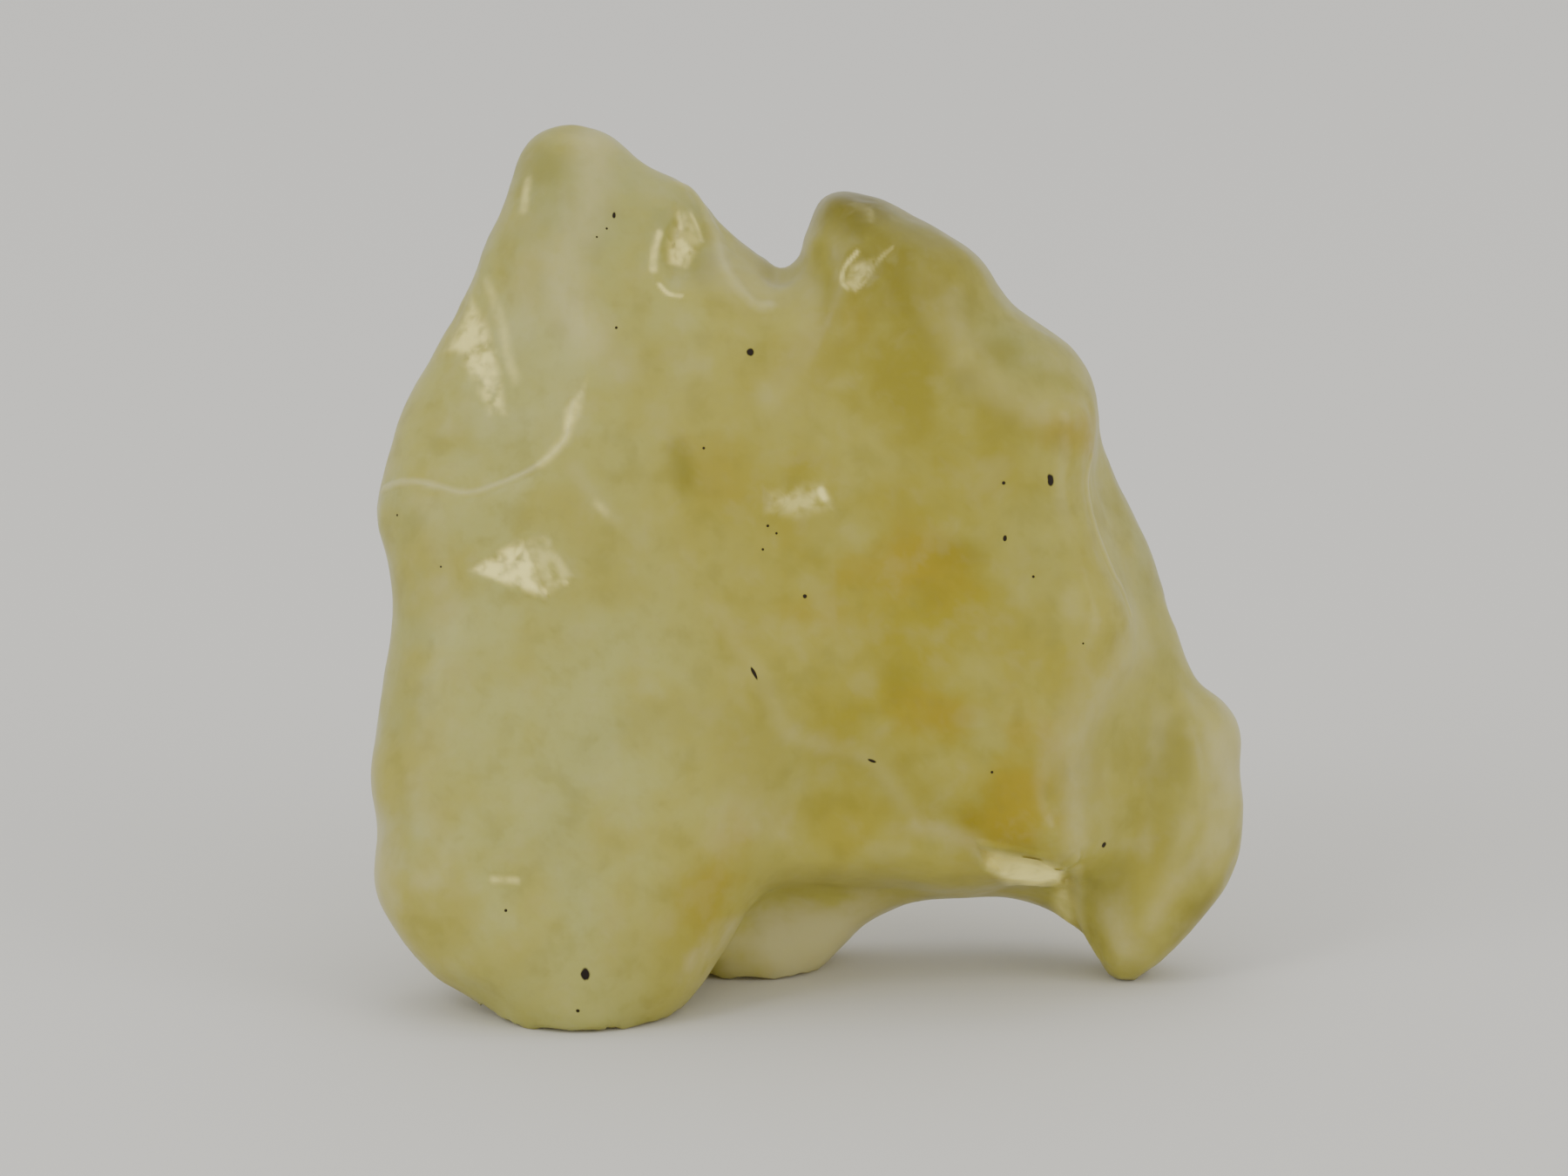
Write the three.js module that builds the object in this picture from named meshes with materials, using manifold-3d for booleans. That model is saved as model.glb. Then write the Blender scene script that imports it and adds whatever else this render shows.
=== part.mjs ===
// Desert glass specimen: one wind-fluted lump of natural silica glass that stands on three worn feet.
// Millimetres, +Z up, origin at the centre of the base. +Y points to the back of the lump.
//
// The lump is worked out as a solid field. Lobes with rounded rims are blended into one mass, wind-cut
// flutes are scooped from its front and back, the surface is meshed, and the feet are cut flat.
import * as THREE from "three";
import { mergeVertices } from "three/addons/utils/BufferGeometryUtils.js";
import Module from "manifold-3d";

const FACE_LEAN = THREE.MathUtils.degToRad(14); // the broad face leans back by this much
const MESH_STEP = 0.87; // grid spacing of the surface
const BLEND = 1.6; // how widely two lobes flow into each other
const CREST = 0.3; // how far the crest between two flutes is worn round
const TURN_OVER = 2.5; // half width of the band where front flutes give way to back flutes
const RIM_POWER = 2.2; // 2 is an elliptical rim, and more is squarer
const OUTLINE_STEPS = 4; // straight pieces between two points of an outline
const RELAX_ROUNDS = 3; // times that the mesh is evened out
const SETTLE_ROUNDS = 3; // times that each vertex is then drawn onto the true surface
const PROBE_SHARE = 1 / 8; // of a grid step: how far apart the field's slope is measured
const MOVE_SHARE = 1 / 2; // of a grid step: the most that a vertex is drawn in one round
const LEAST_SLOPE = 0.3; // a flatter field than this counts as this steep
const FILL_SHARE = 1 / 100; // of a grid step: how deep a filled corner lies inside
const TINY = 1e-6; // keeps a division from being by zero
const CUTTER = 60; // side of the block that trims the feet

// Places are [across, up] on the leaning broad face, and depth runs back from it, all in millimetres.
// A lobe's middle and half thickness are [at 0,0, change per mm across, change per mm up].
const LOBES = [
  {
    // the left lobe, with the higher peak and the front foot
    outline: [
      [-10.2, 37.1], [-8.4, 36.8], [-7.0, 35.6], [-5.0, 34.6], [-3.6, 33.0], [-2.0, 31.6], [-0.6, 30.6],
      [3, 28], [6, 24], [6, 18], [3, 13], [-1.0, 9.6], [-1.8, 6.8], [-3.2, 4.0], [-5.4, 0.8], [-9.4, -1],
      [-13.0, 0.5], [-15.5, 2.5], [-17.3, 4.7], [-17.8, 6.2], [-17.6, 8.4], [-18.0, 10.2], [-17.6, 12.8],
      [-17.3, 15.2], [-17.0, 17.6], [-17.2, 19.4], [-17.6, 21.0], [-17.3, 23.2], [-16.7, 25.4],
      [-15.4, 27.9], [-14.1, 30.4], [-13.1, 32.8], [-12.3, 35.0], [-11.5, 36.5],
    ],
    middle: [3.6, 0.02, 0.12],
    half: [4.8, 0, -0.025],
    rim: 5.2,
  },
  {
    // the right lobe, with the lower peak and the broad right face that ends in a lip
    outline: [
      [1.4, 34.4], [2.7, 34.1], [4.6, 33.1], [6.9, 31.8], [8.3, 29.8], [9.9, 28.6], [11.1, 27.4],
      [11.8, 25.6], [11.7, 24.0], [11.6, 22.6], [12.0, 20.6], [12.8, 18.7], [13.2, 16.8], [12.6, 14.8],
      [11.4, 12.4], [10.8, 9.6], [10.9, 7.4], [10.0, 6.9], [8.4, 7.2], [6.6, 7.8], [4.6, 8.7],
      [2.6, 10.2], [-1, 12.6], [-7, 16], [-8, 22], [-5, 27], [-0.9, 30.4], [-0.2, 31.8], [0.1, 33.0],
      [0.6, 34.0],
    ],
    middle: [5.2, -0.05, 0.06],
    half: [5.1, 0, -0.035],
    rim: 2.8,
  },
  {
    // the fin behind the right face, which runs down into the pointed leg
    outline: [
      [11.0, 24.6], [11.9, 23.6], [12.8, 22.2], [13.5, 20.7], [14.3, 18.5], [15.1, 16.0], [15.8, 14.4],
      [17.0, 13.5], [17.5, 12.5], [17.7, 11.2], [17.7, 8.8], [17.3, 6.4], [15.8, 4.3], [14.0, 2.4],
      [12.9, 1.8], [12.0, 2.3], [11.3, 3.8], [10.9, 5.6], [9, 9], [7.5, 15], [8.5, 21],
    ],
    middle: [9.2, -0.05, 0.01],
    half: [4.1, 0, -0.02],
    rim: 4.4,
  },
  {
    // the thick middle behind both faces
    outline: [
      [-4.4, 6.0], [-1.6, 6.0], [1.0, 5.9], [3.4, 6.0], [5.6, 5.6], [8.3, 6.1], [10, 6.2], [12.4, 7],
      [14.0, 11], [12.6, 17], [10.4, 23], [7, 28], [2, 30], [-3, 30], [-8, 30.5], [-11.4, 27],
      [-12.8, 21], [-13, 14], [-12, 8], [-9, 5],
    ],
    middle: [6.0, 0.12, 0.08],
    half: [5.2, 0, -0.05],
    rim: 2,
  },
  {
    // the back foot and the arch that runs from it to the leg
    outline: [
      [-7.4, 1.0], [-4.4, 0.8], [-1.6, 1.4], [0.8, 2.6], [2.8, 4.2], [4.8, 5.0], [7.5, 5.4], [9.6, 5.0],
      [11.0, 4.4], [12, 8], [7, 12], [-2, 13], [-9, 11], [-10, 5],
    ],
    middle: [10.2, 0, 0],
    half: [3.6, 0, 0],
    rim: 3.4,
  },
];

// Wind-cut flutes: centre, [half width, half height], turn in degrees, and depth.
const FRONT_FLUTES = [
  { at: [-13.0, 26.8], size: [4.6, 5.8], turn: -22, depth: 1.3 },
  { at: [-11.2, 13.6], size: [8.6, 9.8], turn: 8, depth: 1.0 },
  { at: [-6.8, 28.8], size: [3.2, 5.8], turn: 8, depth: 0.7 },
  { at: [-5.1, 31.7], size: [1.9, 2.5], turn: -20, depth: 0.9 },
  { at: [-1.8, 31.4], size: [3.2, 1.6], turn: -45, depth: 0.6 },
  { at: [-4.6, 22.9], size: [1.9, 2.2], turn: 20, depth: 0.5 },
  { at: [-1.2, 28.2], size: [2.3, 4.8], turn: -8, depth: 0.7 },
  { at: [9.6, 28.2], size: [5.4, 3.0], turn: -32, depth: 1.0 },
  { at: [4.8, 20.4], size: [7.4, 12.4], turn: 8, depth: 0.9 },
  { at: [14.4, 9.2], size: [2.4, 5.0], turn: 8, depth: 0.6 },
];
const BACK_FLUTES = [
  { at: [-10.5, 29.5], size: [4.6, 6.4], turn: -20, depth: 1.4 },
  { at: [-11.6, 17.0], size: [5.6, 7.2], turn: 12, depth: 1.6 },
  { at: [-2.2, 24.6], size: [6.0, 5.2], turn: -30, depth: 1.5 },
  { at: [-1.8, 13.2], size: [5.8, 6.4], turn: 25, depth: 1.7 },
  { at: [7.6, 27.0], size: [4.4, 5.0], turn: 30, depth: 1.2 },
  { at: [8.4, 16.4], size: [5.4, 6.6], turn: -15, depth: 1.6 },
  { at: [14.6, 8.8], size: [3.0, 5.6], turn: 14, depth: 1.1 },
  { at: [-9.8, 6.2], size: [5.0, 4.0], turn: 0, depth: 1.0 },
];

// Hollows worn into the base: centre and half sizes, as [across, depth, up].
const BASE_HOLLOWS = [
  { at: [-8.6, 8.2, 0.6], size: [5.2, 3.6, 3.0] },
  { at: [5.6, 9.6, 1.4], size: [4.4, 3.8, 3.4] },
];
const MIDDLE = [7.2, 0, 0.03]; // the depth that parts the front from the back
const BOUNDS = { low: [-20, -4, -3], high: [20, 18, 39.5] }; // across, depth, up

const plane = ([base, across, up], u, v) => base + across * u + up * v;

// Two fields joined with a rounded fillet.
const smoothMin = (a, b, width) => {
  const overlap = Math.max(width - Math.abs(a - b), 0) / width;
  return Math.min(a, b) - (overlap * overlap * width) / 4;
};

// A closed smooth outline as short straight pieces.
function outlineOf(points) {
  const corners = points.map(([u, v]) => new THREE.Vector3(u, v, 0));
  const curve = new THREE.CatmullRomCurve3(corners, true, "centripetal");
  return curve.getPoints(points.length * OUTLINE_STEPS).slice(0, -1);
}

// How far a place lies inside an outline, below 0 outside it.
function insideBy(outline, u, v) {
  let nearest = Infinity;
  let inside = false;
  for (let i = 0, j = outline.length - 1; i < outline.length; j = i++) {
    const a = outline[i];
    const b = outline[j];
    const du = b.x - a.x;
    const dv = b.y - a.y;
    const share = THREE.MathUtils.clamp(((u - a.x) * du + (v - a.y) * dv) / (du * du + dv * dv), 0, 1);
    nearest = Math.min(nearest, (u - a.x - du * share) ** 2 + (v - a.y - dv * share) ** 2);
    if (a.y > v !== b.y > v && u < (du * (v - a.y)) / dv + a.x) inside = !inside;
  }
  return inside ? Math.sqrt(nearest) : -Math.sqrt(nearest);
}

// About the distance to a lobe's surface, below 0 inside: a slab whose rim is a rounded power curve.
function lobeField(lobe, u, v, w) {
  const edge = Math.max(1 - insideBy(lobe.curve, u, v) / lobe.rim, 0);
  const half = plane(lobe.half, u, v);
  const side = Math.abs(w - plane(lobe.middle, u, v)) / half;
  const reach = Math.max((edge ** RIM_POWER + side ** RIM_POWER) ** (1 / RIM_POWER), TINY);
  const edgeSlope = (edge / reach) ** (RIM_POWER - 1) / lobe.rim;
  const sideSlope = (side / reach) ** (RIM_POWER - 1) / half;
  return (reach - 1) / Math.max(Math.hypot(edgeSlope, sideSlope), 1 / lobe.rim);
}

// How deep the flutes cut at a place. The deepest one counts, so crests stand between them.
function fluteDepth(flutes, u, v) {
  let depth = 0;
  for (const flute of flutes) {
    const angle = THREE.MathUtils.degToRad(flute.turn);
    const du = u - flute.at[0];
    const dv = v - flute.at[1];
    const across = (du * Math.cos(angle) + dv * Math.sin(angle)) / flute.size[0];
    const up = (dv * Math.cos(angle) - du * Math.sin(angle)) / flute.size[1];
    const bowl = flute.depth * Math.max(1 - across * across - up * up, 0);
    depth = -smoothMin(-depth, -bowl, CREST);
  }
  return depth;
}

// About the distance to a hollow's surface, below 0 inside it.
function hollowField({ at, size }, u, w, v) {
  const reach = Math.hypot((u - at[0]) / size[0], (w - at[1]) / size[1], (v - at[2]) / size[2]);
  return (reach - 1) * Math.min(...size);
}

// The whole lump's field. Flutes set the front back and the back forward.
const lobes = LOBES.map((lobe) => ({ ...lobe, curve: outlineOf(lobe.outline) }));
function lumpField(u, w, v) {
  const front = THREE.MathUtils.smoothstep(plane(MIDDLE, u, v) - w, -TURN_OVER, TURN_OVER);
  const cut = front * fluteDepth(FRONT_FLUTES, u, v) - (1 - front) * fluteDepth(BACK_FLUTES, u, v);
  const fields = lobes.map((lobe) => lobeField(lobe, u, v, w - cut));
  const mass = fields.reduce((a, b) => smoothMin(a, b, BLEND));
  const hollowed = (field, hollow) => -smoothMin(-field, hollowField(hollow, u, w, v), BLEND);
  return BASE_HOLLOWS.reduce(hollowed, mass);
}

// The quads of the surface where a field is 0, with one vertex in each grid cell that it crosses.
function meshField(field, { low, high }, step) {
  const count = low.map((value, axis) => Math.ceil((high[axis] - value) / step) + 1);
  const stride = [1, count[0], count[0] * count[1]];
  const values = new Float32Array(stride[2] * count[2]);
  const points = [];
  const quads = [];

  const eachPlace = (spare, visit) => {
    for (let k = 0; k < count[2] - spare; k++)
      for (let j = 0; j < count[1] - spare; j++)
        for (let i = 0; i < count[0] - spare; i++)
          visit(i + j * stride[1] + k * stride[2], low[0] + i * step, low[1] + j * step, low[2] + k * step);
  };
  const inside = (index) => values[index] < 0;
  eachPlace(0, (index, x, y, z) => {
    values[index] = field(x, y, z);
  });

  // A cell face whose inside corners lie crosswise is filled, so that no edge gets four quads.
  for (let filled = true; filled; ) {
    filled = false;
    eachPlace(1, (index) => {
      for (let axis = 0; axis < 3; axis++) {
        const a = stride[axis];
        const b = stride[(axis + 1) % 3];
        const crosswise = inside(index) === inside(index + a + b) && inside(index + a) === inside(index + b);
        if (!crosswise || inside(index) === inside(index + a)) continue;
        values[inside(index) ? index + a : index] = -step * FILL_SHARE;
        filled = true;
      }
    });
  }

  const vertexOf = new Int32Array(values.length);
  eachPlace(1, (index, x, y, z) => {
    const sum = new THREE.Vector3();
    let crossings = 0;
    for (let axis = 0; axis < 3; axis++)
      for (let edge = 0; edge < 4; edge++) {
        const offset = [0, 0, 0];
        offset[(axis + 1) % 3] = edge & 1;
        offset[(axis + 2) % 3] = edge >> 1;
        const start = index + offset[0] + offset[1] * stride[1] + offset[2] * stride[2];
        const end = start + stride[axis];
        if (inside(start) === inside(end)) continue;
        offset[axis] = values[start] / (values[start] - values[end]);
        sum.add(new THREE.Vector3(...offset));
        crossings++;
      }
    if (!crossings) return;
    vertexOf[index] = points.length;
    points.push(sum.multiplyScalar(step / crossings).add(new THREE.Vector3(x, y, z)));
  });

  eachPlace(1, (index) => {
    for (let axis = 0; axis < 3; axis++) {
      if (inside(index) === inside(index + stride[axis])) continue;
      const a = stride[(axis + 1) % 3];
      const b = stride[(axis + 2) % 3];
      const quad = [index, index - a, index - a - b, index - b].map((cell) => vertexOf[cell]);
      quads.push(inside(index) ? quad : quad.reverse());
    }
  });
  return { points, quads };
}

// Draws a point onto the surface of a field, straight along the field's slope.
function settle(point, field, step) {
  const reach = step * PROBE_SHARE;
  const most = step * MOVE_SHARE;
  for (let round = 0; round < SETTLE_ROUNDS; round++) {
    const { x, y, z } = point;
    const slope = new THREE.Vector3(
      field(x + reach, y, z) - field(x - reach, y, z),
      field(x, y + reach, z) - field(x, y - reach, z),
      field(x, y, z + reach) - field(x, y, z - reach),
    ).divideScalar(2 * reach);
    const distance = field(x, y, z) / Math.max(slope.length(), LEAST_SLOPE);
    point.addScaledVector(slope.normalize(), -THREE.MathUtils.clamp(distance, -most, most));
  }
}

// Moves each point to the middle of its neighbours and back onto the surface, so that the quads are even.
function relax({ points, quads }, field, step) {
  const sums = points.map(() => new THREE.Vector4(0, 0, 0, 0));
  for (const quad of quads)
    quad.forEach((point, corner) => {
      const next = points[quad[(corner + 1) % 4]];
      const last = points[quad[(corner + 3) % 4]];
      sums[point].add(new THREE.Vector4(next.x + last.x, next.y + last.y, next.z + last.z, 2));
    });
  points.forEach((point, index) => {
    const { x, y, z, w: neighbours } = sums[index];
    point.set(x, y, z).divideScalar(neighbours);
    settle(point, field, step);
  });
}

// Two triangles for each quad, parted along its shorter diagonal.
function triangulate({ points, quads }) {
  const faces = quads.flatMap(([a, b, c, d]) => {
    const firstIsShorter = points[a].distanceTo(points[c]) < points[b].distanceTo(points[d]);
    return firstIsShorter ? [a, b, c, a, c, d] : [b, c, d, b, d, a];
  });
  return new THREE.BufferGeometry().setFromPoints(points).setIndex(faces);
}

const wasm = await Module();
wasm.setup();

function solidOf(geometry) {
  const bare = geometry.clone();
  bare.deleteAttribute("normal");
  bare.deleteAttribute("uv");
  const merged = mergeVertices(bare);
  return new wasm.Manifold(
    new wasm.Mesh({
      numProp: 3,
      vertProperties: merged.getAttribute("position").array,
      triVerts: new Uint32Array(merged.index.array),
    }),
  );
}

function geometryOf(solid) {
  const { vertProperties, triVerts } = solid.getMesh();
  return new THREE.BufferGeometry()
    .setAttribute("position", new THREE.BufferAttribute(vertProperties, 3))
    .setIndex(new THREE.BufferAttribute(triVerts, 1));
}

function makeLump() {
  const surface = meshField(lumpField, BOUNDS, MESH_STEP);
  for (let round = 0; round < RELAX_ROUNDS; round++) relax(surface, lumpField, MESH_STEP);
  const raw = triangulate(surface).rotateX(-FACE_LEAN);
  const cutter = new THREE.BoxGeometry(CUTTER, CUTTER, CUTTER).translate(0, 0, -CUTTER / 2);
  const lump = geometryOf(solidOf(raw).subtract(solidOf(cutter)));
  lump.computeBoundingBox();
  const centre = lump.boundingBox.getCenter(new THREE.Vector3());
  return lump.translate(-centre.x, -centre.y, -lump.boundingBox.min.z);
}

const glass = new THREE.MeshStandardMaterial({ color: 0xb7ac62, roughness: 0.3, metalness: 0 });
const lump = new THREE.Mesh(makeLump(), glass);
lump.name = "desert_glass";

const specimen = new THREE.Group();
specimen.add(lump);
export default specimen;
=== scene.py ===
import math
import random

import bmesh
import bpy
import numpy as np
from mathutils import Matrix, Vector, noise
from mathutils.bvhtree import BVHTree


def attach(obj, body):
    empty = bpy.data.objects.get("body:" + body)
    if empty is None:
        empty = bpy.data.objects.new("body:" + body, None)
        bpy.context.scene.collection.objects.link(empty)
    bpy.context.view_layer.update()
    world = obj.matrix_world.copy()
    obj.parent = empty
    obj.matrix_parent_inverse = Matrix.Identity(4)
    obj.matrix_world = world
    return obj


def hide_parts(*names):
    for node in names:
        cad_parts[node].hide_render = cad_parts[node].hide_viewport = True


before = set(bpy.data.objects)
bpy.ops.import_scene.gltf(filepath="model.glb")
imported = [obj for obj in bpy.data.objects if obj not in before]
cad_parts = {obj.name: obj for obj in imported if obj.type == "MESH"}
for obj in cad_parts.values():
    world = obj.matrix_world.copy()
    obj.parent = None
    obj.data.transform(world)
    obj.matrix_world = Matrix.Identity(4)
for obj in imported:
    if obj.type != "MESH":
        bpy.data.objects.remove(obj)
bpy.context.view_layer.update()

mm = 0.001

# The broad face leans back. Places on it are [across, up], or [across, depth, up], in millimetres
# from the frame's origin, and depth runs back from the viewer.
faceLean = math.radians(14)
toFace = Matrix.Rotation(faceLean, 3, "X")
toFrame = toFace.transposed()


def faceSpot(across, depth, up):
    return toFrame @ Vector((across, depth, up)) * mm


cameraSettings = {
    "middle": (-0.996, -0.65, 15.84),  # what the camera looks at, on the leaning face
    "distance": 500,
    "lens": 280,
    "sensor": 36,
    "nearest": 0.01,  # metres
}


def makeCamera(s):
    across, depth, up = s["middle"]
    data = bpy.data.cameras.new("camera")
    data.lens = s["lens"]
    data.sensor_width = s["sensor"]
    data.clip_start = s["nearest"]
    camera = bpy.data.objects.new("camera", data)
    bpy.context.scene.collection.objects.link(camera)
    camera.location = faceSpot(across, depth - s["distance"], up)
    camera.rotation_euler = (math.pi / 2 - faceLean, 0, 0)
    bpy.context.scene.camera = camera


makeCamera(cameraSettings)
print("camera made")

# Soft studio light: places as [across, depth, up], size across in millimetres, power in watts.
lampAim = (0, 0, 15)
lamps = [
    {"name": "windowLight", "from": (-230, -345, 290), "size": 120, "power": 0.22, "tint": (1, 0.98, 0.94)},
    {"name": "ceilingLight", "from": (60, 60, 490), "size": 420, "power": 0.35, "tint": (1, 1, 1)},
    {"name": "leftLight", "from": (-430, -330, 100), "size": 320, "power": 0.85, "tint": (0.98, 0.99, 1)},
    {"name": "rightLight", "from": (430, -330, 100), "size": 320, "power": 0.85, "tint": (1, 0.97, 0.9)},
]


def makeLamp(s):
    data = bpy.data.lights.new(s["name"], "AREA")
    data.shape = "DISK"
    data.size = s["size"] * mm
    data.energy = s["power"]
    data.color = s["tint"]
    lamp = bpy.data.objects.new(s["name"], data)
    bpy.context.scene.collection.objects.link(lamp)
    lamp.location = faceSpot(*s["from"])
    aim = faceSpot(*lampAim) - lamp.location
    lamp.rotation_euler = aim.to_track_quat("-Z", "Y").to_euler()


for lampSettings in lamps:
    makeLamp(lampSettings)
print("lights made")

# Strokes on the front, in [across, up]: crests and seams, with a fine mesh under the crisp ones. On the
# crests the pale line is a painted highlight along the ridge.
crests = [
    {"route": [(-17.2, 19.8), (-16.5, 20.1), (-15.5, 20.1), (-13.9, 19.7), (-12.7, 20.0), (-11.5, 20.5),
               (-10.5, 21.15), (-9.8, 22.0), (-9.6, 23.05), (-9.5, 23.4)],
     "width": 0.22, "height": 0.07, "pale": 0.5, "fine": True},
    {"route": [(-9.5, 20.7), (-8.7, 19.6), (-7.8, 18.6)], "width": 0.5, "height": 0.02, "pale": 0.2},
    {"route": [(-5.2, 32.3), (-4.6, 31.9), (-3.8, 30.3), (-3.3, 28.7), (-2.2, 27.4), (-1.6, 27.3)],
     "width": 0.45, "height": 0.09, "pale": 0.4, "fine": True},
    {"route": [(1.0, 30.1), (1.15, 27.9), (0.7, 25.3), (-0.6, 23.6)],
     "width": 0.9, "height": 0.09, "pale": 0.08},
    {"route": [(4.8, 28.4), (5.2, 26.8), (6.3, 25.1), (7.2, 24.2), (8.4, 23.4), (9.8, 23.0), (11.0, 22.9)],
     "width": 1.1, "height": 0.12, "pale": 0.1},
    {"route": [(11.5, 21.2), (11.3, 20.0), (11.65, 18.3), (12.35, 16.5), (12.8, 15.75), (13.05, 14.7)],
     "width": 0.3, "height": 0.07, "pale": 0.42, "fine": True},
    {"route": [(13.0, 14.6), (12.9, 13.2), (12.0, 12.2), (11.2, 11.0), (10.7, 9.4)],
     "width": 1.2, "height": 0.1, "pale": 0.05},
    {"route": [(-3.5, 14.8), (-2.8, 13.5), (-2.0, 12.4), (-1.0, 10.3), (0.4, 9.5), (2.5, 8.8), (4.4, 6.3)],
     "width": 0.6, "height": 0.05, "pale": 0.15},
    {"route": [(7.1, 5.45), (8.2, 5.2), (9.4, 5.0), (9.9, 4.7), (10.25, 4.55), (10.8, 4.9)],
     "width": 0.4, "height": 0.2, "pale": 0.0, "fine": True},
    {"route": [(10.9, 4.5), (11.05, 3.15), (11.3, 1.9), (11.9, 0.8)],
     "width": 0.4, "height": 0.1, "pale": 0.3, "fine": True},
    {"route": [(15.3, 11.4), (15.8, 8.9), (15.7, 7.1), (14.6, 4.2), (13.4, 1.6)],
     "width": 0.6, "height": 0.06, "pale": 0.12},
]

# Glints: how far each small facet is turned to mirror the window light, or else to face the camera,
# and how strong the painted highlight on it is.
glintFacets = [
    {"outline": [(-13.7, 27.4), (-13.1, 26.4), (-12.9, 25.4), (-13.6, 25.2), (-14.6, 25.55)],
     "turned": 0.6, "paintedHighlight": 0.7, "softness": 0.34},
    {"outline": [(-14.1, 25.4), (-12.8, 25.7), (-12.6, 24.4), (-12.4, 23.0), (-12.9, 23.0), (-13.7, 24.5)],
     "turned": 0.6, "paintedHighlight": 0.75, "softness": 0.34},
    {"outline": [(-13.7, 16.5), (-12.4, 17.4), (-11.6, 17.8), (-11.1, 16.7), (-10.7, 15.4), (-11.7, 15.8)],
     "turned": 0.8, "paintedHighlight": 0.95},
    {"outline": [(-11.6, 17.8), (-10.6, 17.95), (-9.55, 16.3), (-10.4, 15.6), (-11.0, 16.4)],
     "turned": 0.5, "paintedHighlight": 0.38},
    {"outline": [(-5.7, 30.0), (-5.1, 30.1), (-4.6, 29.5), (-5.0, 28.9), (-5.7, 29.1)],
     "turned": 0.8, "paintedHighlight": 0.8},
    {"outline": [(-5.4, 31.2), (-4.8, 31.2), (-4.35, 29.9), (-4.8, 29.5), (-5.7, 29.7)],
     "turned": 0.4, "paintedHighlight": 0.32},
    {"outline": [(-9.15, 23.9), (-9.3, 22.9), (-9.9, 22.0), (-9.85, 23.0)],
     "turned": 0.4, "paintedHighlight": 0.75, "softness": 0.22, "patchy": 0.5},
    {"outline": [(1.9, 29.4), (2.6, 29.2), (3.0, 29.3), (1.9, 27.9), (1.4, 28.2)],
     "turned": 0.6, "paintedHighlight": 0.4},
    {"outline": [(-1.6, 19.7), (0.6, 20.0), (0.8, 19.1), (-0.4, 18.8), (-1.6, 19.0)],
     "turned": 0.4, "paintedHighlight": 0.42, "softness": 0.4},
    # Under the lip, a painted patch of light, turned to face the camera.
    {"outline": [(7.1, 5.2), (8.3, 4.95), (9.5, 4.75), (10.3, 4.35), (10.3, 3.8), (9.4, 3.6), (8.2, 3.8),
                 (7.3, 4.5)],
     "turned": 0.85, "paintedHighlight": 1.2, "patchy": 0.4, "mirrors": False, "softness": 0.3},
    # Down the leg's left flank, a painted patch of light.
    {"outline": [(10.2, 4.4), (10.95, 4.6), (10.95, 2.9), (11.3, 1.3), (10.6, 1.3), (10.0, 2.9)],
     "turned": 0.6, "paintedHighlight": 0.5, "patchy": 0.3, "softness": 0.35, "mirrors": False},
]
# Thin streaks of painted highlight.
glintLines = [
    {"route": [(-13.1, 28.3), (-12.6, 27.0), (-12.35, 26.0), (-12.2, 25.2), (-11.9, 24.3)],
     "width": 0.3, "paintedHighlight": 0.34},
    {"route": [(-11.45, 32.4), (-11.6, 31.3)], "width": 0.3, "paintedHighlight": 0.45},
    {"route": [(-9.6, 22.9), (-9.85, 22.0), (-10.8, 20.9)], "width": 0.28, "paintedHighlight": 0.4},
    {"route": [(-6.05, 30.25), (-6.25, 29.6), (-6.3, 28.8)], "width": 0.2, "paintedHighlight": 0.8},
    {"route": [(-6.05, 28.15), (-5.7, 27.8), (-5.2, 27.7)], "width": 0.12, "paintedHighlight": 0.8},
    {"route": [(-5.25, 31.1), (-5.2, 30.5)], "width": 0.16, "paintedHighlight": 0.8},
    {"route": [(-4.8, 31.05), (-4.6, 30.6), (-4.4, 30.0)], "width": 0.15, "paintedHighlight": 0.65},
    {"route": [(-5.2, 29.4), (-5.0, 29.35)], "width": 0.26, "paintedHighlight": 1.0},
    {"route": [(2.0, 29.5), (1.5, 28.9), (1.35, 28.3), (1.6, 28.0)], "width": 0.11, "paintedHighlight": 0.6},
    {"route": [(3.4, 29.65), (2.8, 29.1), (2.3, 28.3), (1.9, 27.95)], "width": 0.1, "paintedHighlight": 0.35},
    {"route": [(2.5, 31.2), (2.55, 30.8)], "width": 0.2, "paintedHighlight": 0.15},
    {"route": [(0.5, 19.75), (0.6, 19.5)], "width": 0.26, "paintedHighlight": 1.0},
    {"route": [(-10.7, 17.75), (-10.6, 17.65)], "width": 0.2, "paintedHighlight": 0.8},
    {"route": [(-9.95, 16.15), (-9.85, 16.1)], "width": 0.18, "paintedHighlight": 0.9},
    {"route": [(-10.9, 15.8), (-10.7, 15.7)], "width": 0.2, "paintedHighlight": 0.95},
    {"route": [(-12.7, 4.1), (-11.8, 4.05)], "width": 0.2, "paintedHighlight": 0.45},
    {"route": [(-8.6, 19.3), (-8.2, 18.9)], "width": 0.2, "paintedHighlight": 0.35},
]

lumpForm = {
    "mergeWithin": 1e-6,
    "joinAngle": math.radians(40),
    "frontBelow": -0.1,  # a face whose normal leans this far to the viewer is in front
    "fineReach": 0.6,  # how far from a crisp stroke the mesh is finer
    "levels": 2,
}


def gapToRoute(spots, places):  # how far points on the face are from a route drawn on it
    nearest = np.full(len(spots), np.inf)
    for start, end in zip(places, places[1:]):
        start = np.array(start)
        way = np.array(end) - start
        share = np.clip((spots - start) @ way / (way @ way), 0, 1)
        nearest = np.minimum(nearest, np.linalg.norm(spots - start - share[:, None] * way, axis=1))
    return nearest


def crispRoutes():
    for s in crests:
        if s.get("fine"):
            yield s["route"]
    for s in glintFacets:
        yield s["outline"] + s["outline"][:1]
    for s in glintLines:
        yield s["route"]


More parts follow.
